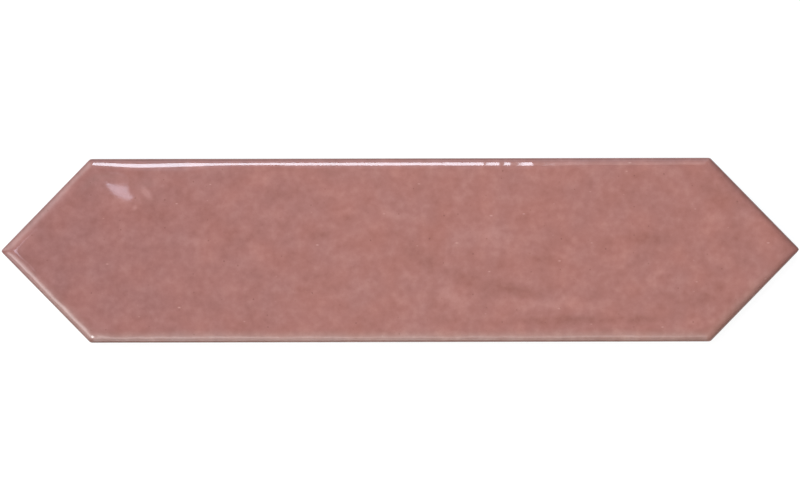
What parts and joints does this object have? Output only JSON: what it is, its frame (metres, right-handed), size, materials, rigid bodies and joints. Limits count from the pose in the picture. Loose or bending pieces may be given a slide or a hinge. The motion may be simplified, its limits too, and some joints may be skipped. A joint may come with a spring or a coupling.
{
  "type": "picket tile",
  "caption": "Glazed ceramic wall tile shaped as a long hexagon with a point at each end, a cushioned glossy face and lengthwise keying grooves in its back.",
  "frame": {"origin": "middle of the back, on the surface that the tile lies on", "axes": "+X from point to point, +Y across the tile between its long sides, +Z out of the glazed face"},
  "size_m": [0.2994, 0.069, 0.009],
  "materials": {
    "rose_glaze": "glossy dusty-rose glaze, softly mottled, over a bare buff fired body"
  },
  "bodies": {
    "root": {"picket_tile": "rose_glaze"}
  },
  "joints": []
}
